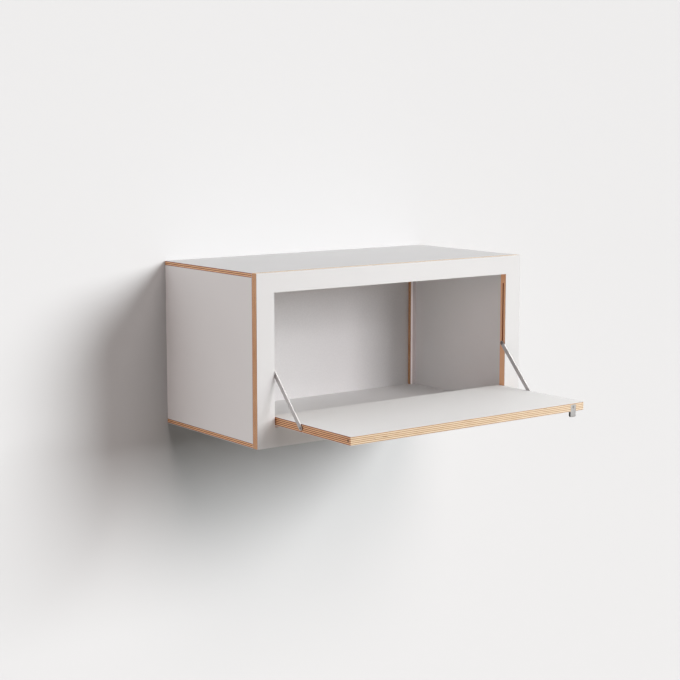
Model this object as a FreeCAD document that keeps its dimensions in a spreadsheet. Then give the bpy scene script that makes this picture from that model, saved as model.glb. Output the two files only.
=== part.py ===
import FreeCAD, Part
import math
import os

import Sketcher
from FreeCAD import Placement, Rotation, Vector

# A wall-hung secretary desk: a laminated plywood box with a face frame, and a drop-down
# writing flap that turns on two pivot pins and hangs on two slotted stays.
# Places are worked out from the cabinet's left, front, bottom corner, in millimetres, and
# place() then moves them to the desk's own frame: X across, Y into the wall, Z up, with
# the origin on the wall plane, midway between the wall-fixing holes.

SIZES = {
    "width": 800, "height": 400, "depth": 398,
    # boards: a plywood core between two sheets of white laminate
    "core": 18.4, "side_core": 23.4, "laminate": 0.8,
    "lip": 10.6,                 # edge of the top and bottom boards that shows at the sides
    "stile": 47.5, "rail": 45.6,
    # back of the cabinet
    "back_board": 3, "back_gap": 0.3, "back_lap": 9.7,
    "batten_wide": 16, "batten_deep": 12,
    "hanger_tall": 60, "hanger_deep": 18,
    "fixing_height": 350, "fixing_apart": 600, "fixing_rise": 30, "fixing_radius": 4,
    # flap and its pivots
    "flap_long": 298.5, "side_gap": 3, "flap_tail": 7.4, "pivot_height": 60.2,
    "pivot_radius": 4, "pin_in_stile": 18, "pin_in_flap": 12, "pin_play": 0.5,
    "bush_radius": 5.5, "bush_bore": 4.05,
    # stays: flat bars in the side gaps, guided by slots in the stiles
    "stay_reach": 108.6, "stay_rise": 118.2, "stay_wide": 11, "stay_thick": 2,
    "stay_clear": 0.5, "stay_pin": 3, "stay_bore": 3.05,
    "rivet_radius": 2, "rivet_head": 4.5, "rivet_proud": 0.35,
    "recess_radius": 8, "recess_deep": 1, "washer_radius": 6, "washer_gap": 0.3,
    "screw_radius": 2, "screw_long": 24, "screw_sunk": 0.1,
    "slot_wide": 4, "slot_deep": 10, "slider_radius": 1.75, "slider_end": 0.3,
    # finger pull, a folded steel strip on the flap's front edge, and its catch
    "pull_wide": 16.2, "pull_thick": 1.2, "pull_deep": 7.2, "pull_drop": 14, "pull_up": 16.5,
    "pull_from_end": 25.2, "pull_corner": 3.5, "pull_play": 0.2,
    "magnet_radius": 5, "magnet_thick": 5,
    # dowels and small screws
    "dowel_radius": 4, "dowel_long": 30, "dowel_in_frame": 14, "thin_dowel": 3,
    "dowel_cover": 4,
    "head_radius": 3, "head_deep": 1.6, "shank_radius": 1.5, "shank_long": 13, "back_shank": 10,
    "drive_radius": 1.2, "drive_deep": 1,
}

DOWEL_HEIGHTS = (60, 150, 250, 340)       # frame to side boards
DOWEL_PLACES = (150, 400, 650)            # frame to top and bottom boards
CORNER_DOWEL_DEPTHS = (90, 210, 330)      # top and bottom boards to side boards
RAIL_DOWEL_HEIGHTS = (335, 365)           # hanging rail to side boards
BACK_SCREW_PLACES = (60, 230, 400, 570, 740)
BATTEN_SCREW_HEIGHTS = (110, 230)
SIDES = ("left", "right")

doc = FreeCAD.newDocument("secretary_desk")
sheet = doc.addObject("Spreadsheet::Sheet", "Size")
for row, (alias, value) in enumerate(SIZES.items(), start=1):
    sheet.set(f"A{row}", alias)
    sheet.set(f"B{row}", str(value))
    sheet.setAlias(f"B{row}", alias)
doc.recompute()

BOARD = "(Size.core + 2 * Size.laminate)"
SIDE_BOARD = "(Size.side_core + 2 * Size.laminate)"
BOX_DEPTH = f"(Size.depth - {BOARD})"
INSIDE_WIDE = f"(Size.width - 2 * {SIDE_BOARD})"
OPENING_WIDE = "(Size.width - 2 * Size.stile)"
OPENING_TALL = "(Size.height - 2 * Size.rail)"
BACK_FACE = "(Size.depth - Size.back_board)"
FRAME_MIDDLE = f"({BOARD} / 2)"
SIDE_MIDDLE = f"({SIDE_BOARD} / 2)"
FLAP_WIDE = f"({OPENING_WIDE} - 2 * Size.side_gap)"
FLAP_SIDE = "(Size.stile + Size.side_gap)"
FLAP_FRONT = f"({FRAME_MIDDLE} + Size.flap_tail - Size.flap_long)"
FLAP_BOTTOM = f"(Size.pivot_height - {BOARD} / 2)"
STAY_PIVOT = f"({FRAME_MIDDLE} - Size.stay_reach)"
STAY_LONG = "(sqrt(Size.stay_reach * Size.stay_reach + Size.stay_rise * Size.stay_rise))"
PIN_OPEN = "(Size.pivot_height + Size.stay_rise)"
PIN_SHUT = f"(Size.pivot_height + Size.stay_reach + {STAY_LONG})"
HANGER_LOW = f"(Size.height - {BOARD} - Size.hanger_tall)"
PULL_LEFT = f"({FLAP_SIDE} + {FLAP_WIDE} - Size.pull_from_end - Size.pull_wide)"
PULL_MIDDLE = f"({PULL_LEFT} + Size.pull_wide / 2)"

nodes = {}


def evaluate(expression):
    """The number an expression gives with the sheet's sizes."""
    return float(sheet.evalExpression(str(expression)))


def place(thing, x, y, z, rotation=Rotation()):
    """Put a piece's own zero at a place given from the cabinet's corner."""
    thing.Placement = Placement(Vector(0, 0, 0), rotation)
    thing.setExpression("Placement.Base.x", f"{x} - Size.width / 2")
    thing.setExpression("Placement.Base.y", f"{y} - Size.depth")
    thing.setExpression("Placement.Base.z", f"{z} - Size.fixing_height")
    return thing


def keep(thing, name):
    """Name a finished piece, so that it is written to a file of its own."""
    thing.Label = name
    nodes[name] = thing
    return thing


def from_side(side, inset, length):
    """Lowest X of something of a length that starts inset from one side's outer face."""
    return inset if side == "left" else f"(Size.width - {inset} - {length})"


# ---- sketches and solids ----

def new_sketch(body, role, name):
    """A sketch on one of the body's own origin planes."""
    sketch = body.newObject("Sketcher::SketchObject", name)
    plane = next(f for f in body.Origin.OriginFeatures if f.Role == role)
    sketch.AttachmentSupport = [(plane, "")]
    sketch.MapMode = "FlatFace"
    return sketch


def bind(sketch, kind, where, expression):
    """Add a distance or radius whose value comes from the sheet."""
    index = sketch.addConstraint(Sketcher.Constraint(kind, *where, evaluate(expression)))
    sketch.setExpression(f"Constraints[{index}]", expression)


def rectangle(sketch, wide, tall, left=None, low=None):
    """A rectangle from the sketch's origin, or from a corner set in from it."""
    start_x = evaluate(left) if left else 0
    start_y = evaluate(low) if low else 0
    end_x = start_x + evaluate(wide)
    end_y = start_y + evaluate(tall)
    corners = [Vector(start_x, start_y, 0), Vector(end_x, start_y, 0),
               Vector(end_x, end_y, 0), Vector(start_x, end_y, 0)]
    first = sketch.GeometryCount
    for i in range(4):
        sketch.addGeometry(Part.LineSegment(corners[i], corners[(i + 1) % 4]))
    for i in range(4):
        joint = (first + i, 2, first + (i + 1) % 4, 1)
        sketch.addConstraint(Sketcher.Constraint("Coincident", *joint))
        sketch.addConstraint(Sketcher.Constraint("Vertical" if i % 2 else "Horizontal", first + i))
    bind(sketch, "DistanceX", (first, 1, first, 2), wide)
    bind(sketch, "DistanceY", (first + 1, 1, first + 1, 2), tall)
    if left:
        bind(sketch, "DistanceX", (-1, 1, first, 1), left)
        bind(sketch, "DistanceY", (-1, 1, first, 1), low)
    else:
        sketch.addConstraint(Sketcher.Constraint("Coincident", first, 1, -1, 1))


def circle(sketch, radius, across=None):
    """A hole centred on the origin, or on the sketch's X axis at a distance from it."""
    centre = Vector(evaluate(across) if across else 0, 0, 0)
    index = sketch.addGeometry(Part.Circle(centre, Vector(0, 0, 1), evaluate(radius)))
    bind(sketch, "Radius", (index,), radius)
    if across:
        bind(sketch, "DistanceX", (-1, 1, index, 3), across)
        sketch.addConstraint(Sketcher.Constraint("PointOnObject", index, 3, -1))
    else:
        sketch.addConstraint(Sketcher.Constraint("Coincident", index, 3, -1, 1))


def pad(body, sketch, length, backwards=False):
    """Give a sketch its thickness."""
    solid = body.newObject("PartDesign::Pad", f"{body.Name}_pad")
    solid.Profile = sketch
    solid.setExpression("Length", length)
    solid.Reversed = backwards
    sketch.Visibility = False
    return solid


PLANES = {"lying": "XY_Plane", "facing": "XZ_Plane", "upright": "YZ_Plane"}


def board(name, way, wide, tall, thick, corner):
    """A rectangular board: lying spans X and Y, facing X and Z, upright Y and Z."""
    body = doc.addObject("PartDesign::Body", name)
    sketch = new_sketch(body, PLANES[way], f"{name}_outline")
    rectangle(sketch, wide, tall)
    pad(body, sketch, thick, backwards=way == "facing")
    return place(body, *corner)


TURN = {"x": Rotation(Vector(0, 1, 0), 90), "y": Rotation(Vector(1, 0, 0), -90), "z": Rotation()}


def rod(name, axis, radius, length, start):
    """A round bar from its start along an axis."""
    solid = doc.addObject("Part::Cylinder", name)
    solid.setExpression("Radius", radius)
    solid.setExpression("Height", length)
    return place(solid, *start, TURN[axis])


def box(name, size, corner):
    """A block, used for rebates and recesses."""
    solid = doc.addObject("Part::Box", name)
    for side, length in zip(("Length", "Width", "Height"), size):
        solid.setExpression(side, length)
    return place(solid, *corner)


def group(name, pieces):
    """Identical pieces that share one node, still separate solids."""
    together = doc.addObject("Part::Compound", name)
    together.Links = pieces
    together.Placement = Placement()
    return together


def cut(name, base, tools):
    """Take the tools' volume out of a piece."""
    tool = tools[0]
    if len(tools) > 1:
        tool = doc.addObject("Part::MultiFuse", f"{name}_tools")
        tool.Shapes = tools
    result = doc.addObject("Part::Cut", name)
    result.Base = base
    result.Tool = tool
    return result


def two_sheets(name, way, wide, tall, first, second):
    """The two laminate sheets of a board, each at its own corner."""
    return [board(f"{name}_{i}", way, wide, tall, "Size.laminate", corner)
            for i, corner in enumerate((first, second))]


# ---- fastenings, which also cut their own holes ----

def make_dowels():
    """Beech dowels: frame to box, box corners, and hanging rail to sides."""
    start = f"({BOARD} - Size.dowel_in_frame)"
    frame = []
    for side in SIDES:
        x = SIDE_MIDDLE if side == "left" else f"(Size.width - {SIDE_MIDDLE})"
        for height in DOWEL_HEIGHTS:
            where = (x, start, height)
            frame.append(rod("frame_dowel", "y", "Size.dowel_radius", "Size.dowel_long", where))
    for z in (f"({BOARD} / 2)", f"(Size.height - {BOARD} / 2)"):
        for x in DOWEL_PLACES:
            frame.append(rod("frame_dowel", "y", "Size.dowel_radius", "Size.dowel_long", (x, start, z)))
    corners = []
    for side in SIDES:
        x = SIDE_MIDDLE if side == "left" else f"(Size.width - {SIDE_MIDDLE})"
        for z in ("Size.dowel_cover", "(Size.height - Size.dowel_cover - Size.dowel_long)"):
            for y in CORNER_DOWEL_DEPTHS:
                corners.append(rod("corner_dowel", "z", "Size.thin_dowel", "Size.dowel_long", (x, y, z)))
    rail = []
    for side in SIDES:
        x = from_side(side, f"({SIDE_BOARD} - Size.dowel_long / 2)", "Size.dowel_long")
        for z in RAIL_DOWEL_HEIGHTS:
            where = (x, f"({BACK_FACE} - Size.hanger_deep / 2)", z)
            rail.append(rod("rail_dowel", "x", "Size.dowel_radius", "Size.dowel_long", where))
    return frame, corners, rail


def back_screw(x, z):
    """A countersunk screw through the back board, with a six-sided drive in its head."""
    head = doc.addObject("Part::Cone", "screw_head")
    head.setExpression("Radius1", "Size.shank_radius")
    head.setExpression("Radius2", "Size.head_radius")
    head.setExpression("Height", "Size.head_deep")
    place(head, x, "(Size.depth - Size.head_deep)", z, TURN["y"])
    start = (x, "(Size.depth - Size.head_deep - Size.back_shank)", z)
    shank = rod("screw_shank", "y", "Size.shank_radius", "Size.back_shank", start)
    whole = doc.addObject("Part::MultiFuse", "back_screw_blank")
    whole.Shapes = [head, shank]
    drive = doc.addObject("Part::Prism", "screw_drive")
    drive.Polygon = 6
    drive.setExpression("Circumradius", "Size.drive_radius")
    drive.setExpression("Height", "Size.drive_deep")
    place(drive, x, "(Size.depth - Size.drive_deep)", z, TURN["y"])
    return whole, cut("back_screw", whole, [drive])


def make_back_screws():
    """Screws all round the back board: solid blanks for the holes, and the screws themselves."""
    spots = [(x, z) for z in (f"({BOARD} * 3 / 4)", f"(Size.height - {BOARD} * 3 / 4)")
             for x in BACK_SCREW_PLACES]
    for side in SIDES:
        x = from_side(side, f"({SIDE_BOARD} + Size.batten_wide / 2)", "0")
        spots += [(x, z) for z in BATTEN_SCREW_HEIGHTS]
    return zip(*[back_screw(x, z) for x, z in spots])


def fixing_holes():
    """Four clearance holes for the wall screws, through the hanging rail and the back board."""
    holes = []
    for across in (-1, 1):
        for up in (-1, 1):
            x = f"(Size.width / 2 + {across} * Size.fixing_apart / 2)"
            z = f"(Size.fixing_height + {up} * Size.fixing_rise / 2)"
            start = (x, f"({BACK_FACE} - Size.hanger_deep)", z)
            length = "(Size.hanger_deep + Size.back_board)"
            holes.append(rod("fixing_hole", "y", "Size.fixing_radius", length, start))
    return holes


# ---- the box ----

def make_flat_boards(frame_dowels, corner_dowels, screws):
    """Top and bottom boards, rebated over the sides so that only a lip of edge shows."""
    for name, high in (("top_panel", True), ("bottom_panel", False)):
        outside = "(Size.height - Size.laminate)" if high else "0"
        inside = f"(Size.height - {BOARD})" if high else f"({BOARD} - Size.laminate)"
        low = f"(Size.height - {BOARD} + Size.laminate)" if high else "Size.laminate"
        blank = board(f"{name}_blank", "lying", "Size.width", BOX_DEPTH, "Size.core", ("0", BOARD, low))
        rebate_low = f"(Size.height - {BOARD})" if high else "Size.lip"
        rebate = (SIDE_BOARD, BOX_DEPTH, f"({BOARD} - Size.lip)")
        tools = [box(f"{name}_rebate", rebate, (from_side(side, "0", SIDE_BOARD), BOARD, rebate_low))
                 for side in SIDES]
        lap_low = f"(Size.height - {BOARD})" if high else f"({BOARD} - Size.back_lap)"
        lap = (INSIDE_WIDE, "Size.back_board", "Size.back_lap")
        lap_cut = box(f"{name}_back_rebate", lap, (SIDE_BOARD, BACK_FACE, lap_low))
        keep(cut(f"{name}_core", blank, tools + [lap_cut] + frame_dowels + corner_dowels + screws),
             f"{name}_core")
        outer = board(f"{name}_outer", "lying", "Size.width", BOX_DEPTH, "Size.laminate",
                      ("0", BOARD, outside))
        inner = board(f"{name}_inner", "lying", INSIDE_WIDE, f"({BOX_DEPTH} - Size.back_board)",
                      "Size.laminate", (SIDE_BOARD, BOARD, inside))
        keep(group(f"{name}_laminates", [outer, inner]), f"{name}_laminates")


def make_side_boards(frame_dowels, corner_dowels, rail_dowels):
    """Side boards, standing in the rebates of the top and bottom boards."""
    tall = "(Size.height - 2 * Size.lip)"
    for side in SIDES:
        name = f"{side}_side"
        core_x = from_side(side, "Size.laminate", "Size.side_core")
        blank = board(f"{name}_blank", "upright", BOX_DEPTH, tall, "Size.side_core",
                      (core_x, BOARD, "Size.lip"))
        keep(cut(f"{name}_core", blank, frame_dowels + corner_dowels + rail_dowels), f"{name}_core")
        outer = (from_side(side, "0", "Size.laminate"), BOARD, "Size.lip")
        inner = (from_side(side, f"({SIDE_BOARD} - Size.laminate)", "Size.laminate"), BOARD, "Size.lip")
        sheets = two_sheets(f"{name}_sheet", "upright", BOX_DEPTH, tall, outer, inner)
        sheets[1] = cut(f"{name}_inner_sheet", sheets[1], rail_dowels)
        keep(group(f"{name}_laminates", sheets), f"{name}_laminates")


def make_slot(side):
    """A round-ended slot in a stile's inner edge, as long as the slider's travel."""
    x = from_side(side, "(Size.stile - Size.slot_deep)", "Size.slot_deep")
    block = (x, f"({FRAME_MIDDLE} - Size.slot_wide / 2)", PIN_OPEN)
    size = ("Size.slot_deep", "Size.slot_wide", f"({PIN_SHUT} - {PIN_OPEN})")
    ends = [rod("slot_end", "x", "(Size.slot_wide / 2)", "Size.slot_deep", (x, FRAME_MIDDLE, z))
            for z in (PIN_OPEN, PIN_SHUT)]
    return [box("slot_middle", size, block)] + ends


def make_frame(frame_dowels):
    """The face frame: one board with an opening, slots, pin holes and the catch's pocket."""
    def ring(name, thick, y):
        body = doc.addObject("PartDesign::Body", name)
        sketch = new_sketch(body, "XZ_Plane", f"{name}_outline")
        rectangle(sketch, "Size.width", "Size.height")
        rectangle(sketch, OPENING_WIDE, OPENING_TALL, "Size.stile", "Size.rail")
        pad(body, sketch, thick, backwards=True)
        return place(body, "0", y, "0")

    blank = ring("front_frame_blank", "Size.core", "Size.laminate")
    tools = list(frame_dowels)
    for side in SIDES:
        tools += make_slot(side)
        x = from_side(side, "(Size.stile - Size.pin_in_stile)", "Size.pin_in_stile")
        where = (x, FRAME_MIDDLE, "Size.pivot_height")
        tools.append(rod("pin_hole", "x", "Size.pivot_radius", "Size.pin_in_stile", where))
    where = (PULL_MIDDLE, FRAME_MIDDLE, "(Size.height - Size.rail)")
    magnet = rod("catch_magnet", "z", "Size.magnet_radius", "Size.magnet_thick", where)
    keep(magnet, "catch_magnet")
    keep(cut("front_frame_core", blank, tools + [magnet]), "front_frame_core")
    front = ring("front_frame_front_sheet", "Size.laminate", "0")
    rear = ring("front_frame_rear_sheet", "Size.laminate", f"({BOARD} - Size.laminate)")
    rear = cut("front_frame_rear_sheet_bored", rear, frame_dowels)
    keep(group("front_frame_laminates", [front, rear]), "front_frame_laminates")


def make_back(rail_dowels, screws, holes):
    """Back board, the two faced battens it is screwed to, and the rail that hangs the desk."""
    wide = f"({INSIDE_WIDE} - 2 * Size.back_gap)"
    tall = f"(Size.height - 2 * {BOARD} + 2 * Size.back_lap - 2 * Size.back_gap)"
    corner = (f"({SIDE_BOARD} + Size.back_gap)", BACK_FACE, f"({BOARD} - Size.back_lap + Size.back_gap)")
    blank = board("back_blank", "facing", wide, tall, "Size.back_board", corner)
    keep(cut("back_panel", blank, screws + holes), "back_panel")
    tall = f"({HANGER_LOW} - {BOARD})"
    sheets = []
    for side in SIDES:
        x = from_side(side, SIDE_BOARD, "Size.batten_wide")
        front = f"({BACK_FACE} - Size.batten_deep)"
        blank = board(f"{side}_batten_blank", "upright", "(Size.batten_deep - Size.laminate)", tall,
                      "Size.batten_wide", (x, f"({front} + Size.laminate)", BOARD))
        keep(cut(f"{side}_back_batten", blank, screws), f"{side}_back_batten")
        sheets.append(board(f"{side}_batten_sheet", "facing", "Size.batten_wide", tall, "Size.laminate",
                            (x, front, BOARD)))
    keep(group("back_batten_laminates", sheets), "back_batten_laminates")
    corner = (SIDE_BOARD, f"({BACK_FACE} - Size.hanger_deep)", HANGER_LOW)
    blank = board("hanging_rail_blank", "facing", INSIDE_WIDE, "Size.hanger_tall", "Size.hanger_deep",
                  corner)
    keep(cut("hanging_rail", blank, rail_dowels + holes), "hanging_rail")


# ---- the flap ----

def make_flap():
    """The writing flap, drawn down: its core with bush holes, recesses and the pull's seat."""
    low = f"({FLAP_BOTTOM} + Size.laminate)"
    blank = board("flap_blank", "lying", FLAP_WIDE, "Size.flap_long", "Size.core",
                  (FLAP_SIDE, FLAP_FRONT, low))
    seat_size = ("(Size.pull_wide + 2 * Size.pull_play)", "Size.pull_thick", "Size.pull_up")
    seat_corner = (f"({PULL_LEFT} - Size.pull_play)", FLAP_FRONT, FLAP_BOTTOM)
    seat = box("pull_seat", seat_size, seat_corner)
    tools = [seat]
    for side in SIDES:
        x = from_side(side, FLAP_SIDE, "Size.pin_in_flap")
        where = (x, FRAME_MIDDLE, "Size.pivot_height")
        tools.append(rod("bush_hole", "x", "Size.bush_radius", "Size.pin_in_flap", where))
        x = from_side(side, FLAP_SIDE, "Size.recess_deep")
        where = (x, STAY_PIVOT, "Size.pivot_height")
        tools.append(rod("stay_recess", "x", "Size.recess_radius", "Size.recess_deep", where))
        tools.append(stay_screw_shank(side, "stay_screw_hole"))
    tools.append(pull_screw_shank("pull_screw_hole"))
    keep(cut("flap_core", blank, tools), "flap_core")
    upper = (FLAP_SIDE, FLAP_FRONT, f"({FLAP_BOTTOM} + {BOARD} - Size.laminate)")
    lower = (FLAP_SIDE, FLAP_FRONT, FLAP_BOTTOM)
    sheets = two_sheets("flap_sheet", "lying", FLAP_WIDE, "Size.flap_long", lower, upper)
    sheets[0] = cut("flap_lower_sheet", sheets[0], [seat])
    keep(group("flap_laminates", sheets), "flap_laminates")


def make_pivots(side):
    """A steel pin in the stile and the bush it turns in, let into the flap's end."""
    length = "(Size.pin_in_stile + Size.side_gap + Size.pin_in_flap - Size.pin_play)"
    x = from_side(side, "(Size.stile - Size.pin_in_stile)", length)
    where = (x, FRAME_MIDDLE, "Size.pivot_height")
    name = f"hinge_pin_{side}"
    keep(rod(name, "x", "Size.pivot_radius", length, where), name)
    where = (from_side(side, FLAP_SIDE, "Size.pin_in_flap"), FRAME_MIDDLE, "Size.pivot_height")
    outer = rod(f"bush_blank_{side}", "x", "Size.bush_radius", "Size.pin_in_flap", where)
    bore = rod(f"bush_bore_{side}", "x", "Size.bush_bore", "Size.pin_in_flap", where)
    name = f"hinge_bush_{side}"
    keep(cut(name, outer, [bore]), name)


# ---- the stays ----

def stay_screw_shank(side, name):
    """The part of a stay's pivot screw that is in the flap."""
    x = from_side(side, f"({FLAP_SIDE} + Size.recess_deep)", "Size.screw_long")
    return rod(name, "x", "Size.screw_radius", "Size.screw_long", (x, STAY_PIVOT, "Size.pivot_height"))


def make_stay(side):
    """A flat steel bar with round ends, from the flap up to the slider in the slot."""
    name = f"stay_{side}"
    body = doc.addObject("PartDesign::Body", name)
    sketch = new_sketch(body, "YZ_Plane", f"{name}_outline")
    half, long = evaluate("Size.stay_wide / 2"), evaluate(STAY_LONG)
    quarter = math.pi / 2
    normal = Vector(0, 0, 1)
    sketch.addGeometry(Part.ArcOfCircle(Part.Circle(Vector(0, 0, 0), normal, half), quarter, 3 * quarter))
    sketch.addGeometry(Part.LineSegment(Vector(0, -half, 0), Vector(long, -half, 0)))
    sketch.addGeometry(Part.ArcOfCircle(Part.Circle(Vector(long, 0, 0), normal, half), -quarter, quarter))
    sketch.addGeometry(Part.LineSegment(Vector(long, half, 0), Vector(0, half, 0)))
    for joint in ((0, 2, 1, 1), (1, 2, 2, 1), (2, 2, 3, 1), (3, 2, 0, 1)):
        sketch.addConstraint(Sketcher.Constraint("Tangent", *joint))
    sketch.addConstraint(Sketcher.Constraint("Coincident", 0, 3, -1, 1))
    sketch.addConstraint(Sketcher.Constraint("Horizontal", 1))
    bind(sketch, "Radius", (0,), "Size.stay_wide / 2")
    bind(sketch, "DistanceX", (-1, 1, 2, 3), STAY_LONG)
    circle(sketch, "Size.stay_bore")
    circle(sketch, "Size.rivet_radius", across=STAY_LONG)
    pad(body, sketch, "Size.stay_thick")
    outer = "(Size.stile + Size.stay_clear)"
    lean = math.degrees(math.atan2(evaluate("Size.stay_rise"), evaluate("Size.stay_reach")))
    place(body, from_side(side, outer, "Size.stay_thick"), STAY_PIVOT, "Size.pivot_height",
          Rotation(Vector(1, 0, 0), lean))
    keep(body, name)

    name = f"stay_rivet_{side}"
    where = (from_side(side, outer, "Size.stay_thick"), FRAME_MIDDLE, PIN_OPEN)
    shank = rod(f"{name}_shank", "x", "Size.rivet_radius", "Size.stay_thick", where)
    face = f"({outer} + Size.stay_thick)"
    where = (from_side(side, face, "Size.rivet_proud"), FRAME_MIDDLE, PIN_OPEN)
    head = rod(f"{name}_head", "x", "Size.rivet_head", "Size.rivet_proud", where)
    rivet = doc.addObject("Part::MultiFuse", name)
    rivet.Shapes = [shank, head]
    keep(rivet, name)


def make_stay_pivot(side):
    """The shouldered screw a stay turns on, and the washer under it in the flap's recess."""
    outer = "(Size.stile + Size.stay_clear + Size.screw_sunk)"
    floor = f"({FLAP_SIDE} + Size.recess_deep)"
    shoulder = f"({floor} - {outer})"
    where = (from_side(side, outer, shoulder), STAY_PIVOT, "Size.pivot_height")
    neck = rod(f"screw_shoulder_{side}", "x", "Size.stay_pin", shoulder, where)
    screw = doc.addObject("Part::MultiFuse", f"stay_screw_blank_{side}")
    screw.Shapes = [neck, stay_screw_shank(side, f"screw_shank_{side}")]
    drive = doc.addObject("Part::Prism", f"screw_drive_{side}")
    drive.Polygon = 6
    drive.setExpression("Circumradius", "Size.screw_radius")
    drive.setExpression("Height", "Size.drive_deep")
    place(drive, from_side(side, outer, "Size.drive_deep"), STAY_PIVOT, "Size.pivot_height", TURN["x"])
    name = f"stay_pivot_screw_{side}"
    keep(cut(name, screw, [drive]), name)

    start = "(Size.stile + Size.stay_clear + Size.stay_thick + Size.washer_gap)"
    thick = f"({floor} - {start})"
    where = (from_side(side, start, thick), STAY_PIVOT, "Size.pivot_height")
    disc = rod(f"washer_blank_{side}", "x", "Size.washer_radius", thick, where)
    name = f"stay_washer_{side}"
    keep(cut(name, disc, [neck]), name)


def make_slider(side):
    """The pin that runs in the stile's slot."""
    long = "(Size.slot_deep - 2 * Size.slider_end)"
    x = from_side(side, "(Size.stile - Size.slot_deep + Size.slider_end)", long)
    name = f"slider_{side}"
    keep(rod(name, "x", "Size.slider_radius", long, (x, FRAME_MIDDLE, PIN_OPEN)), name)


# ---- the finger pull ----

def pull_screw_shank(name):
    """The part of the pull's screw that is in the flap."""
    start = (PULL_MIDDLE, f"({FLAP_FRONT} + Size.pull_thick)", "Size.pivot_height")
    return rod(name, "y", "Size.shank_radius", "Size.shank_long", start)


def make_pull():
    """A steel strip screwed to the flap's front edge and folded back into a grip below it."""
    body = doc.addObject("PartDesign::Body", "pull_fold")
    sketch = new_sketch(body, "YZ_Plane", "pull_profile")
    deep, thick = evaluate("Size.pull_deep"), evaluate("Size.pull_thick")
    drop, up = evaluate("Size.pull_drop"), evaluate("Size.pull_up")
    outer = deep / 2
    bend = outer - drop
    middle, normal = Vector(outer, bend, 0), Vector(0, 0, 1)
    sketch.addGeometry(Part.LineSegment(Vector(0, up, 0), Vector(0, bend, 0)))
    sketch.addGeometry(Part.ArcOfCircle(Part.Circle(middle, normal, outer), math.pi, 2 * math.pi))
    sketch.addGeometry(Part.LineSegment(Vector(deep, bend, 0), Vector(deep, 0, 0)))
    sketch.addGeometry(Part.LineSegment(Vector(deep, 0, 0), Vector(deep - thick, 0, 0)))
    sketch.addGeometry(Part.LineSegment(Vector(deep - thick, 0, 0), Vector(deep - thick, bend, 0)))
    inner = Part.Circle(middle, normal, outer - thick)
    sketch.addGeometry(Part.ArcOfCircle(inner, math.pi, 2 * math.pi))
    sketch.addGeometry(Part.LineSegment(Vector(thick, bend, 0), Vector(thick, up, 0)))
    sketch.addGeometry(Part.LineSegment(Vector(thick, up, 0), Vector(0, up, 0)))
    for joint in ((0, 2, 1, 1), (1, 2, 2, 1), (4, 2, 5, 2), (5, 1, 6, 1)):
        sketch.addConstraint(Sketcher.Constraint("Tangent", *joint))
    for joint in ((2, 2, 3, 1), (3, 2, 4, 1), (6, 2, 7, 1), (7, 2, 0, 1), (1, 3, 5, 3)):
        sketch.addConstraint(Sketcher.Constraint("Coincident", *joint))
    sketch.addConstraint(Sketcher.Constraint("Vertical", 0))
    sketch.addConstraint(Sketcher.Constraint("Horizontal", 3))
    sketch.addConstraint(Sketcher.Constraint("Horizontal", 7))
    sketch.addConstraint(Sketcher.Constraint("PointOnObject", 0, 1, -2))
    sketch.addConstraint(Sketcher.Constraint("PointOnObject", 3, 1, -1))
    bind(sketch, "Radius", (1,), "Size.pull_deep / 2")
    bind(sketch, "DistanceX", (3, 2, 3, 1), "Size.pull_thick")
    bind(sketch, "DistanceX", (7, 2, 7, 1), "Size.pull_thick")
    bind(sketch, "DistanceY", (-1, 1, 0, 1), "Size.pull_up")
    bind(sketch, "DistanceY", (1, 3, -1, 1), "Size.pull_drop - Size.pull_deep / 2")
    pad(body, sketch, "Size.pull_wide")
    place(body, PULL_LEFT, FLAP_FRONT, FLAP_BOTTOM)

    # the strip's face, with its two lower corners rounded
    face = doc.addObject("PartDesign::Body", "pull_face")
    outline = new_sketch(face, "XZ_Plane", "pull_face_outline")
    rectangle(outline, "Size.pull_wide", "(Size.pull_drop + Size.pull_up)")
    block = pad(face, outline, "Size.pull_deep", backwards=True)
    doc.recompute()
    low = min(edge.CenterOfMass.z for edge in block.Shape.Edges)
    corners = [f"Edge{i}" for i, edge in enumerate(block.Shape.Edges, start=1)
               if edge.CenterOfMass.z < low + 0.01 and edge.BoundBox.YLength > deep / 2]
    rounding = face.newObject("PartDesign::Fillet", "pull_corners")
    rounding.Base = (block, corners)
    rounding.setExpression("Radius", "Size.pull_corner")
    face.Tip = rounding
    place(face, PULL_LEFT, FLAP_FRONT, f"({FLAP_BOTTOM} - Size.pull_drop)")
    shape = doc.addObject("Part::Common", "pull_blank")
    shape.Base = body
    shape.Tool = face

    head = doc.addObject("Part::Cone", "pull_screw_head")
    head.setExpression("Radius1", "Size.head_radius")
    head.setExpression("Radius2", "Size.shank_radius")
    head.setExpression("Height", "Size.pull_thick")
    place(head, PULL_MIDDLE, FLAP_FRONT, "Size.pivot_height", TURN["y"])
    keep(cut("finger_pull", shape, [head]), "finger_pull")

    screw = doc.addObject("Part::MultiFuse", "pull_screw_blank")
    screw.Shapes = [head, pull_screw_shank("pull_screw_shank")]
    drive = doc.addObject("Part::Prism", "pull_screw_drive")
    drive.Polygon = 6
    drive.setExpression("Circumradius", "Size.drive_radius")
    drive.setExpression("Height", "Size.drive_deep")
    place(drive, PULL_MIDDLE, FLAP_FRONT, "Size.pivot_height", TURN["y"])
    keep(cut("finger_pull_screw", screw, [drive]), "finger_pull_screw")


# ---- build, check and write ----

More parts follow.
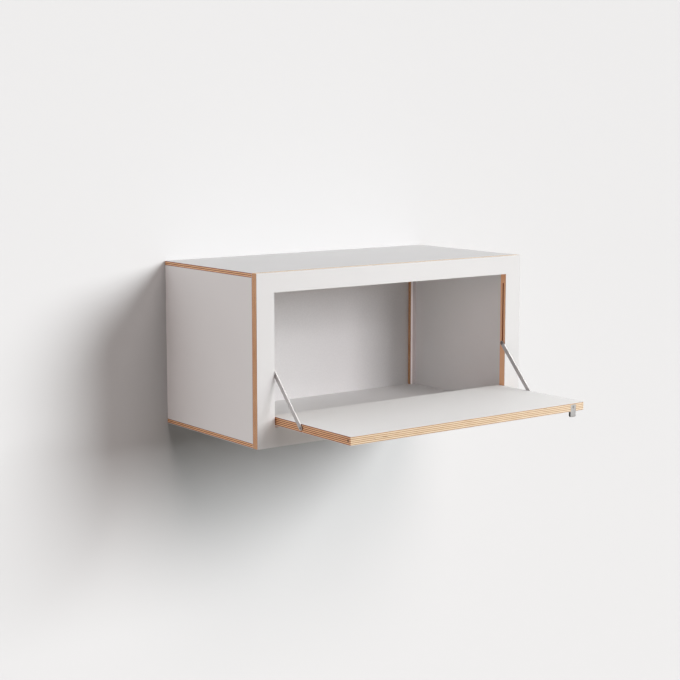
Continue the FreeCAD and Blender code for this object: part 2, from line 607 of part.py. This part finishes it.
def build():
    frame_dowels, corner_dowels, rail_dowels = make_dowels()
    screw_blanks, screws = make_back_screws()
    keep(group("frame_dowels", frame_dowels), "frame_dowels")
    keep(group("corner_dowels", corner_dowels), "corner_dowels")
    keep(group("rail_dowels", rail_dowels), "rail_dowels")
    keep(group("back_panel_screws", list(screws)), "back_panel_screws")
    make_flat_boards(frame_dowels, corner_dowels, list(screw_blanks))
    make_side_boards(frame_dowels, corner_dowels, rail_dowels)
    make_frame(frame_dowels)
    make_back(rail_dowels, list(screw_blanks), fixing_holes())
    make_flap()
    for side in SIDES:
        make_pivots(side)
        make_stay(side)
        make_stay_pivot(side)
        make_slider(side)
    make_pull()
    doc.recompute()


def check():
    """Stop if anything in the document failed, or a piece is missing or not sound."""
    for thing in doc.Objects:
        if "Invalid" in thing.State or "Error" in thing.State:
            raise RuntimeError(f"{thing.Name} failed: {thing.State}")
    for name, thing in nodes.items():
        shape = thing.Shape
        if shape.isNull() or not shape.isValid() or not shape.Solids:
            raise RuntimeError(f"{name} has no sound solid")


build()
check()
os.makedirs("parts", exist_ok=True)
for name, thing in nodes.items():
    thing.Shape.exportStep(f"parts/{name}.step")
    span = thing.Shape.BoundBox
    print(f"{name:26s} solids {len(thing.Shape.Solids):2d} volume {thing.Shape.Volume / 1000:9.2f} cm3"
          f"  x {span.XMin:7.1f} {span.XMax:7.1f}  y {span.YMin:7.1f} {span.YMax:7.1f}"
          f"  z {span.ZMin:7.1f} {span.ZMax:7.1f}")
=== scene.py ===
"""Looks of a wall-hung secretary desk: white-laminated birch plywood with satin steel stays."""

import math

import bpy
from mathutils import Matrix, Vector


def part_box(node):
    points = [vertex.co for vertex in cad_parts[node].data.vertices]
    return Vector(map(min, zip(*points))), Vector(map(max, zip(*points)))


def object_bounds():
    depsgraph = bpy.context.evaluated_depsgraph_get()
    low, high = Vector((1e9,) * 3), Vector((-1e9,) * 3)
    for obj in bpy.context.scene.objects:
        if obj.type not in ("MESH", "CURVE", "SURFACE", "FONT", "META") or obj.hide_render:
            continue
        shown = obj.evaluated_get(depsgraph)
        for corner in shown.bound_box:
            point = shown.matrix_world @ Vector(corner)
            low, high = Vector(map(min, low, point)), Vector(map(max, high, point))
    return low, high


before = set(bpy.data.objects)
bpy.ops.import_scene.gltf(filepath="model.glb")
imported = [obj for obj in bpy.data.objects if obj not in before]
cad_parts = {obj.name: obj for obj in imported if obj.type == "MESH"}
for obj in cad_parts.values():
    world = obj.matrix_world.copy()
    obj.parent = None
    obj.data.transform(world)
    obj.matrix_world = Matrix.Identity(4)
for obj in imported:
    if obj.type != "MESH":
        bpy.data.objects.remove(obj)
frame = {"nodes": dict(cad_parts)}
cad_low, cad_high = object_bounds()
nodes = frame["nodes"]

MM = 0.001
X, Y, Z = range(3)

# sizes on the desk that its looks need
PLIES = 9                       # veneers in one plywood core
FLAP_GAP = 3 * MM               # from the flap's end to the opening's side, when it is shut
FRAME_RIM = 10 * MM             # strip along the frame's outer edges that keeps their own tone, free of the opening's painted light and shade
SLOT_LIP = 0.6 * MM             # from the opening's side to where the painted shade inside a slot begins
SLOT_REACH = 30 * MM            # from the opening's side to beyond the slots' outer ends
BATTEN_LIT = 5 * MM             # part of the right batten's face that is left out of the corner's painted shade
BATTEN_FADE = 1.5 * MM          # width over which that painted shade begins
HOLE_SETBACK = 9 * MM           # from the flap's front edge to the small hole in its left edge
HOLE_CORE = 2.4 * MM            # how far from the hole's middle it is darkest
HOLE_RIM = 3.2 * MM             # and how far it goes
PULL_SKIN = 1.12 * MM           # just inside the strip that the finger pull is folded from
BOARD_BEVEL = 0.2 * MM
METAL_BEVEL = 0.15 * MM
SCREW_BEVEL = 0.1 * MM
SHARP_ANGLE = 40                # degrees; a bevel softens edges that turn by more

# the camera, given from the middle of the front frame's face
CAMERA_BEARING = -36.72         # degrees from straight ahead of the desk, to its left
CAMERA_HEIGHT = 8.11            # degrees above the horizon
CAMERA_DISTANCE = 3.657         # metres to the point looked at
CAMERA_LENS = 83.2              # millimetres
CAMERA_SENSOR = 36              # millimetres
AIM_RIGHT = -0.168              # metres from the face's middle to the point looked at
AIM_UP = 0.0313

# Lamps that light the desk alone, with only its own pieces to shade it: bearing and height in degrees
# as seen from it, width in metres, watts, and colour.
LAMP_DISTANCE = 5.0
LAMPS = {
    "front_softbox": (20, 15, 1.8, 122, (1.0, 0.985, 1.0)),
    "front_high": (0, 32, 2.2, 38, (1.0, 1.0, 1.0)),
    "right_softbox": (45, 15, 1.8, 32, (0.9, 1.0, 0.96)),
    "right_high": (75, 50, 1.8, 32, (1.0, 1.0, 1.0)),
    "left_softbox": (-70, 8, 1.8, 38, (1.0, 0.835, 0.82)),
    "rear_fill": (180, 0, 0.8, 92, (1.0, 0.98, 0.96)),
    "flap_softbox": (75, 50, 1.8, 54, (1.0, 1.0, 0.95)),
    "batten_softbox": (-17, 8, 1.8, 95, (1.0, 0.77, 0.75)),
    "edge_softbox": (55, -9, 0.7, 42, (0.85, 0.97, 1.0)),
}
# the pieces that one lamp is kept off, and the only pieces that two others light
FLAGGED = {"flap_softbox": ("top_panel_core", "top_panel_laminates")}
SNOOTED = {"batten_softbox": ("back_batten_laminates",), "edge_softbox": ("flap_core",)}
# Wide, even sources for the wall and the floor, which throw the desk's soft shadow: bearing, height
# and spread in degrees, strength, and colour.
BACKDROP_SUNS = {
    "backdrop_key": (36, 19, 29, 5.9, (0.985, 1.0, 1.0)),
    "backdrop_fill": (3, 37, 30, 1.75, (1.0, 0.9, 0.87)),
}
WORLD_COLOUR = (1, 0.96, 0.96, 1)
AMBIENT = 0.04                  # strength of the world's light on things
BACKDROP = 0.8                  # and its strength where the camera looks past them

# the stage, in metres
STAGE_REACH = 12.0              # to the left, to the right, forwards and back
FLOOR_LEVEL = -1.6
WALL_TOP = 8.0
WALL_CLEARANCE = 0.5 * MM


# ---- node helpers ----

class Graph:
    """A material's node tree, with short ways to add and join nodes."""

    def __init__(self, name):
        self.material = bpy.data.materials.new(name)
        self.material.use_nodes = True
        self.tree = self.material.node_tree
        self.bsdf = self.tree.nodes["Principled BSDF"]

    def feed(self, socket, value):
        """Join a socket to another one, or give it a plain value."""
        if isinstance(value, bpy.types.NodeSocket):
            self.tree.links.new(value, socket)
        else:
            socket.default_value = value

    def node(self, kind, inputs=None, **settings):
        made = self.tree.nodes.new(kind)
        for key, value in settings.items():
            setattr(made, key, value)
        for key, value in (inputs or {}).items():
            self.feed(made.inputs[key], value)
        return made

    def set(self, **inputs):
        """Set the surface's own inputs, with an underscore for each space in their names."""
        for name, value in inputs.items():
            self.feed(self.bsdf.inputs[name.replace("_", " ")], value)

    def bump(self, height, strength, distance):
        made = self.node("ShaderNodeBump", {"Height": height, "Strength": strength, "Distance": distance})
        self.set(Normal=made.outputs["Normal"])

    def math(self, operation, first, second=0.0, third=0.0):
        return self.node("ShaderNodeMath", {0: first, 1: second, 2: third}, operation=operation).outputs[0]

    def place(self):
        return self.node("ShaderNodeTexCoord").outputs["Object"]

    def parts(self, vector):
        """A vector's x, y and z."""
        return self.node("ShaderNodeSeparateXYZ", {0: vector}).outputs

    def scaled(self, vector, scale):
        return self.node("ShaderNodeVectorMath", {0: vector, 1: scale}, operation="MULTIPLY").outputs[0]

    def distance(self, vector, point):
        made = self.node("ShaderNodeVectorMath", {0: vector, 1: point}, operation="DISTANCE")
        return made.outputs["Value"]

    def noise(self, vector, scale=1.0, detail=2.0, roughness=0.5):
        made = self.node("ShaderNodeTexNoise", {"Vector": vector, "Scale": scale, "Detail": detail,
                                               "Roughness": roughness})
        return made.outputs["Fac"]

    def spread(self, value, low, high, new_low=0.0, new_high=1.0):
        """Carry the range from low to high over to another range, and hold it at its ends."""
        made = self.node("ShaderNodeMapRange", {"Value": value, "From Min": low, "From Max": high,
                                               "To Min": new_low, "To Max": new_high})
        return made.outputs["Result"]

    def even(self, noise, low=0.0, high=1.0):
        """Draw noise, which mostly lies between 0.3 and 0.7, out to the range asked for."""
        return self.spread(noise, 0.3, 0.7, low, high)

    def mix(self, factor, first, second, blend="MIX"):
        made = self.node("ShaderNodeMix", {0: factor}, data_type="RGBA", blend_type=blend)
        for index, value in ((6, first), (7, second)):
            colour = value if isinstance(value, bpy.types.NodeSocket) else (*value, 1)
            self.feed(made.inputs[index], colour)
        return made.outputs[2]


# ---- materials ----

# laminate tones that vary at random, and a tone for the painted shade in a batten's corner
WHITE = {"low": (0.842, 0.838, 0.836), "high": (0.857, 0.853, 0.851), "shaded": (0.48, 0.475, 0.475)}


def white_laminate(name, lit_to=None):
    """Matt white high-pressure laminate, with a faint pebble in its sheen.

    A batten's face also says how far out it is lit; past that, the shade of the corner it stands in is
    painted on.
    """
    g = Graph(name)
    here = g.place()
    grain = g.noise(here, 900.0)
    colour = g.mix(g.even(g.noise(here, 5.0, detail=3.0)), WHITE["low"], WHITE["high"])
    # painted shade of the corner, beyond how far out the batten's face is lit
    if lit_to:
        across = g.math("ABSOLUTE", g.parts(here)[X])
        colour = g.mix(g.spread(across, lit_to, lit_to + BATTEN_FADE), colour, WHITE["shaded"])
    g.set(Base_Color=colour, Roughness=g.even(grain, 0.5, 0.62), Specular_IOR_Level=0.12)
    g.bump(grain, strength=0.06, distance=0.3 * MM)
    return g.material


# veneers that show their long grain and their end grain, on edges painted warmer as if in shade and on
# edges painted paler as if lit
SHADED_EDGE_WOOD = {"long": (1.0, 0.67, 0.38), "end": (0.30, 0.035, 0.005)}
LIT_EDGE_WOOD = {"long": (1.0, 0.86, 0.64), "end": (0.56, 0.315, 0.16)}
# tones that the wood is multiplied by, one for whole veneers and one for streaks
VENEER_TINT = (0.72, 0.55, 0.40)
STREAK_TINT = (0.66, 0.45, 0.28)
# tones that cover the wood: fibres, voids, painted light on the opening's sides and painted shade inside
# the slots
FIBRE = (0.45, 0.25, 0.12)
CORE_VOID = (0.10, 0.045, 0.02)
OPENING_SIDE_LIGHT = (1.0, 0.57, 0.33)
SLOT_SHADE = (0.50, 0.07, 0.015)


def veneers(g, here, axis, low, thick):
    """How many veneers up a point is, with a slight wander, and whether end grain shows there."""
    height = g.math("DIVIDE", g.math("SUBTRACT", g.parts(here)[axis], low), thick / PLIES)
    stack = g.math("ADD", height, g.even(g.noise(here, 11.0), -0.1, 0.1))
    # every other veneer shows its end grain, and looks a little narrower
    turns = g.math("PINGPONG", g.math("ADD", stack, 0.5), 1.0)
    return stack, g.spread(turns, 0.54, 0.63)


def opening_light_and_shade(g, here, colour, half_width, middle, half_height):
    """Painted light on the sides of the frame's opening, and painted shade inside its slots."""
    x, _, z = g.parts(here)
    across = g.math("ABSOLUTE", x)
    inner = g.math("MULTIPLY", g.math("LESS_THAN", across, half_width + SLOT_REACH),
                   g.math("COMPARE", z, middle, half_height))
    # past the lip, inside the slots, the wood is painted with shade
    deep = g.math("MULTIPLY", inner, g.math("GREATER_THAN", across, half_width + SLOT_LIP))
    return g.mix(deep, g.mix(g.math("MULTIPLY", inner, 0.85), colour, OPENING_SIDE_LIGHT), SLOT_SHADE)


def plywood(name, axis, low, thick, lit_edge_axis, opening=None, hole=None):
    """Birch plywood: veneers stacked along one axis, painted paler as if lit on the edges that face one
    way, and warmer as if in shade elsewhere.

    The frame gives its opening's half width, middle level and half height, for the painted light and shade
    there, and the flap gives the middle of a small hole in one of its core veneers.
    """
    g = Graph(name)
    here = g.place()
    stack, end_grain = veneers(g, here, axis, low, thick)
    facing = g.parts(g.node("ShaderNodeTexCoord").outputs["Normal"])[lit_edge_axis]
    # edges facing along that axis take the paler wood, a painted highlight; the rest take the warmer wood,
    # painted shade
    pale = g.math("GREATER_THAN", g.math("ABSOLUTE", facing), 0.5)
    colour = g.mix(pale, g.mix(end_grain, SHADED_EDGE_WOOD["long"], SHADED_EDGE_WOOD["end"]),
                   g.mix(end_grain, LIT_EDGE_WOOD["long"], LIT_EDGE_WOOD["end"]))

    own_tone = g.node("ShaderNodeTexWhiteNoise", {"W": g.math("FLOOR", stack)}, noise_dimensions="1D")
    colour = g.mix(g.math("MULTIPLY", own_tone.outputs["Value"], 0.2), colour, VENEER_TINT, "MULTIPLY")
    stretch = [28.0, 28.0, 28.0]
    stretch[axis] = 0.9 * PLIES / thick
    streaks = g.noise(g.scaled(here, stretch), detail=3.0, roughness=0.6)
    colour = g.mix(g.spread(streaks, 0.42, 0.72, 0.0, 0.42), colour, STREAK_TINT, "MULTIPLY")
    fibres = g.noise(here, 1400.0, roughness=0.6)
    colour = g.mix(g.spread(fibres, 0.45, 0.8, 0.0, 0.12), colour, FIBRE)
    voids = g.noise(g.scaled(here, [0.8 * times for times in stretch]), detail=1.0)
    colour = g.mix(g.spread(voids, 0.74, 0.77, 0.0, 0.85), colour, CORE_VOID)
    # painted light on the opening's sides and painted shade in its slots
    if opening:
        colour = opening_light_and_shade(g, here, colour, *opening)
    if hole:
        dark = g.spread(g.distance(here, hole), HOLE_CORE, HOLE_RIM, 0.9, 0.0)
        colour = g.mix(dark, colour, CORE_VOID)

    roughness = g.math("SUBTRACT", g.even(fibres, 0.58, 0.68), g.math("MULTIPLY", pale, 0.2))
    g.set(Base_Color=colour, Roughness=roughness, Specular_IOR_Level=0.15, Coat_Weight=0.4,
          Coat_Roughness=0.24)
    g.bump(g.math("ADD", end_grain, fibres), strength=0.1, distance=0.4 * MM)
    return g.material


def plain_wood(name, dark, light):
    """Turned wood with a fine straight grain."""
    g = Graph(name)
    grain = g.noise(g.scaled(g.place(), (160.0, 160.0, 25.0)), detail=4.0, roughness=0.6)
    g.set(Base_Color=g.mix(g.even(grain), dark, light), Roughness=0.55)
    g.bump(grain, strength=0.1, distance=0.4 * MM)
    return g.material


def back_board(name, dark, light):
    """Thin white-faced board."""
    g = Graph(name)
    grain = g.noise(g.place(), 260.0, detail=3.0)
    g.set(Base_Color=g.mix(g.even(grain), dark, light), Roughness=0.6)
    g.bump(grain, strength=0.08, distance=0.3 * MM)
    return g.material


# each metal's tone, how close its scratches lie along x, y and z, and its roughness
METALS = {
    "satin_steel": ((0.58, 0.56, 0.56), (90.0, 700.0, 700.0), 0.44),
    "dark_steel": ((0.24, 0.22, 0.21), (400.0, 400.0, 400.0), 0.42),
    "bright_steel": ((0.95, 0.95, 0.96), (400.0, 400.0, 400.0), 0.40),
    "zinc_steel": ((0.62, 0.62, 0.60), (300.0, 300.0, 300.0), 0.40),
}
# painted shade for the inside of the finger pull's fold
FOLD_SHADE = (0.02, 0.02, 0.02)


def brushed_metal(name, fold=None):
    """Satin metal with fine scratches, and painted shade inside a fold.

    The fold's hollow is given by its middle and half size, first across it and then up it.
    """
    tone, stretch, roughness = METALS[name]
    g = Graph(name)
    here = g.place()
    scratches = g.noise(g.scaled(here, stretch), detail=3.0, roughness=0.65)
    colour = g.mix(g.even(scratches), [0.86 * part for part in tone], tone)
    if fold:
        # the fold's hollow is painted dark, as shade
        _, y, z = g.parts(here)
        inside = g.math("MULTIPLY", g.math("COMPARE", y, *fold[0]), g.math("COMPARE", z, *fold[1]))
        colour = g.mix(inside, colour, FOLD_SHADE)
    g.set(Base_Color=colour, Metallic=1.0,
          Roughness=g.even(scratches, roughness - 0.06, roughness + 0.08))
    g.bump(scratches, strength=0.12, distance=0.2 * MM)
    return g.material


def fine_plastic(name, dark, light):
    """Moulded plastic with a fine spark-eroded grain."""
    g = Graph(name)
    grain = g.noise(g.place(), 1200.0)
    g.set(Base_Color=g.mix(grain, dark, light), Roughness=0.5)
    g.bump(grain, strength=0.15, distance=0.2 * MM)
    return g.material


def stage_paint(name, tone):
    """Matt paint for the wall and floor, which can be looked through from behind."""
    g = Graph(name)
    g.set(Base_Color=(*tone, 1), Roughness=0.9, Specular_IOR_Level=0.0)
    behind = g.node("ShaderNodeNewGeometry").outputs["Backfacing"]
    clear = g.node("ShaderNodeBsdfTransparent").outputs[0]
    both = g.node("ShaderNodeMixShader", {0: behind, 1: g.bsdf.outputs[0], 2: clear}).outputs[0]
    g.feed(g.tree.nodes["Material Output"].inputs["Surface"], both)
    return g.material


# ---- dressing the CAD nodes ----

def finish_node(name, material, bevel=0.0):
    """Give a CAD node its material, and soften its sharp edges a little."""
    thing = nodes[name]
    thing.data.materials.clear()
    thing.data.materials.append(material)
    if bevel:
        rounding = thing.modifiers.new("soft_edges", "BEVEL")
        rounding.width = bevel
        rounding.segments = 2
        rounding.limit_method = "ANGLE"
        rounding.angle_limit = math.radians(SHARP_ANGLE)
        rounding.harden_normals = False


def dress_laminates():
    batten_low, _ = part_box("right_back_batten")
    white = white_laminate("white_laminate")
    # the battens' laminate, with the corner's shade painted on
    painted_corner_white = white_laminate("batten_laminate", batten_low.x + BATTEN_LIT)
    for name in nodes:
        if name.endswith("_laminates"):
            finish_node(name, painted_corner_white if name == "back_batten_laminates" else white, BOARD_BEVEL)


# plywood pieces: the axis that their veneers are stacked along, and the way that their edges painted
# paler, as if lit, face
BOARDS = (
    ("top_panel_core", Z, Y), ("bottom_panel_core", Z, Y), ("flap_core", Z, Y),
    ("front_frame_core", Y, Z), ("left_side_core", X, Y), ("right_side_core", X, Y),
    ("hanging_rail", Y, Z), ("left_back_batten", Y, Z), ("right_back_batten", Y, Z),
)


def frame_opening():
    """Half width, middle level and half height of the space that holds the opening and the slots."""
    _, flap_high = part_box("flap_core")
    low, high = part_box("front_frame_core")
    return flap_high.x + FLAP_GAP, (low.z + high.z) / 2, (high.z - low.z) / 2 - FRAME_RIM


def flap_hole():
    low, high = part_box("flap_core")
    return low.x, low.y + HOLE_SETBACK, (low.z + high.z) / 2


def dress_boards():
    marks = {"front_frame_core": {"opening": frame_opening()}, "flap_core": {"hole": flap_hole()}}
    for name, axis, lit_edge_axis in BOARDS:
        low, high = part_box(name)
        thick = high[axis] - low[axis]
        ply = plywood(f"ply_{name}", axis, low[axis], thick, lit_edge_axis, **marks.get(name, {}))
        finish_node(name, ply, BOARD_BEVEL)
    pale_back = back_board("back_board", (0.81, 0.795, 0.795), (0.85, 0.835, 0.835))
    finish_node("back_panel", pale_back, BOARD_BEVEL)


def pull_hollow():
    """Middle and half size of the hollow in the finger pull's fold, across it and up it."""
    low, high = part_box("finger_pull")
    flap_low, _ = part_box("flap_core")
    depth, drop = high.y - low.y, flap_low.z - low.z
    return (low.y + depth / 2, depth / 2 - PULL_SKIN), (low.z + PULL_SKIN + drop / 2, drop / 2)


def dress_fittings():
    beech = plain_wood("beech", (0.60, 0.38, 0.21), (0.72, 0.50, 0.30))
    zinc = brushed_metal("zinc_steel")
    steel = brushed_metal("satin_steel")
    dark_steel = brushed_metal("dark_steel")
    black = fine_plastic("black_plastic", (0.02, 0.02, 0.02), (0.035, 0.035, 0.035))
    tan = fine_plastic("tan_plastic", (0.40, 0.27, 0.20), (0.46, 0.31, 0.23))
    for name in ("frame_dowels", "corner_dowels", "rail_dowels"):
        finish_node(name, beech)
    for name in ("back_panel_screws", "catch_magnet"):
        finish_node(name, zinc)
    for side in ("left", "right"):
        for name in (f"stay_{side}", f"slider_{side}", f"hinge_pin_{side}"):
            finish_node(name, steel, METAL_BEVEL)
        for name in (f"stay_rivet_{side}", f"stay_pivot_screw_{side}"):
            finish_node(name, dark_steel, SCREW_BEVEL)
        finish_node(f"stay_washer_{side}", tan)
        finish_node(f"hinge_bush_{side}", black)
    finish_node("finger_pull", brushed_metal("bright_steel", pull_hollow()), METAL_BEVEL)
    finish_node("finger_pull_screw", zinc, SCREW_BEVEL)


# ---- stage, light and camera ----

def plane(name, corner, along, up, material):
    """A flat rectangle that spans two directions from its first corner."""
    mesh = bpy.data.meshes.new(name)
    mesh.from_pydata([corner, corner + along, corner + along + up, corner + up], [], [(0, 1, 2, 3)])
    thing = bpy.data.objects.new(name, mesh)
    bpy.context.scene.collection.objects.link(thing)
    mesh.materials.append(material)
    return thing


def make_stage():
    """A wall right behind the desk, and a floor well below it."""
    along = Vector((2 * STAGE_REACH, 0, 0))
    wall = plane("wall", Vector((-STAGE_REACH, cad_high.y + WALL_CLEARANCE, FLOOR_LEVEL)), along,
                 Vector((0, 0, WALL_TOP - FLOOR_LEVEL)), stage_paint("wall_paint", (0.425, 0.427, 0.431)))
    floor = plane("floor", Vector((-STAGE_REACH, -STAGE_REACH, FLOOR_LEVEL)), along,
                  Vector((0, 2 * STAGE_REACH, 0)), stage_paint("floor_paint", (0.27, 0.255, 0.235)))
    return [wall, floor]


def direction(bearing, height):
    """The way from the desk to something at a bearing from straight ahead and a height, in degrees."""
    bearing, height = math.radians(bearing), math.radians(height)
    return Vector((math.sin(bearing) * math.cos(height), -math.cos(bearing) * math.cos(height),
                   math.sin(height)))


def set_off(thing, point, towards, distance):
    """Set a lamp or camera off from a point by a distance, and turn it to look back at it."""
    thing.location = point + towards * distance
    thing.rotation_euler = (-towards).to_track_quat("-Z", "Y").to_euler()


def group_of(name, things):
    group = bpy.data.collections.new(name)
    for thing in things:
        group.objects.link(thing)
    return group


def add_lamp(name, kind, towards, centre, lit):
    """A lamp that shines at the desk from a direction, on the things that it is for."""
    data = bpy.data.lights.new(name, kind)
    lamp = bpy.data.objects.new(name, data)
    bpy.context.scene.collection.objects.link(lamp)
    set_off(lamp, centre, towards, LAMP_DISTANCE)
    lamp.visible_camera = False
    lamp.light_linking.receiver_collection = group_of(f"{name}_lights", lit)
    lamp.light_linking.blocker_collection = group_of(f"{name}_shades", nodes.values())
    return data


def make_lights(centre, stage):
    for name, (bearing, height, size, watts, colour) in LAMPS.items():
        lit = [thing for key, thing in nodes.items()
               if key in SNOOTED.get(name, nodes) and key not in FLAGGED.get(name, ())]
        data = add_lamp(name, "AREA", direction(bearing, height), centre, lit)
        data.size = size
        data.energy = watts
        data.color = colour
    for name, (bearing, height, spread, strength, colour) in BACKDROP_SUNS.items():
        data = add_lamp(name, "SUN", direction(bearing, height), centre, stage)
        data.angle = math.radians(spread)
        data.energy = strength
        data.color = colour


def make_world():
    """Faint even light, in front of a pale backdrop."""
    world = bpy.data.worlds.new("studio")
    bpy.context.scene.world = world
    world.use_nodes = True
    tree = world.node_tree
    seen = tree.nodes.new("ShaderNodeLightPath").outputs["Is Camera Ray"]
    strength = tree.nodes.new("ShaderNodeMapRange")
    tree.links.new(seen, strength.inputs["Value"])
    strength.inputs["To Min"].default_value = AMBIENT
    strength.inputs["To Max"].default_value = BACKDROP
    background = tree.nodes["Background"]
    background.inputs["Color"].default_value = WORLD_COLOUR
    tree.links.new(strength.outputs["Result"], background.inputs["Strength"])


def make_camera():
    data = bpy.data.cameras.new("camera")
    data.lens = CAMERA_LENS
    data.sensor_width = CAMERA_SENSOR
    camera = bpy.data.objects.new("camera", data)
    bpy.context.scene.collection.objects.link(camera)
    low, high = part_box("front_frame_laminates")
    target = Vector(((low.x + high.x) / 2 + AIM_RIGHT, low.y, (low.z + high.z) / 2 + AIM_UP))
    set_off(camera, target, direction(CAMERA_BEARING, CAMERA_HEIGHT), CAMERA_DISTANCE)
    bpy.context.scene.camera = camera


dress_laminates()
dress_boards()
dress_fittings()
make_lights((cad_low + cad_high) / 2, make_stage())
make_world()
make_camera()
bpy.context.scene.view_settings.view_transform = "Standard"
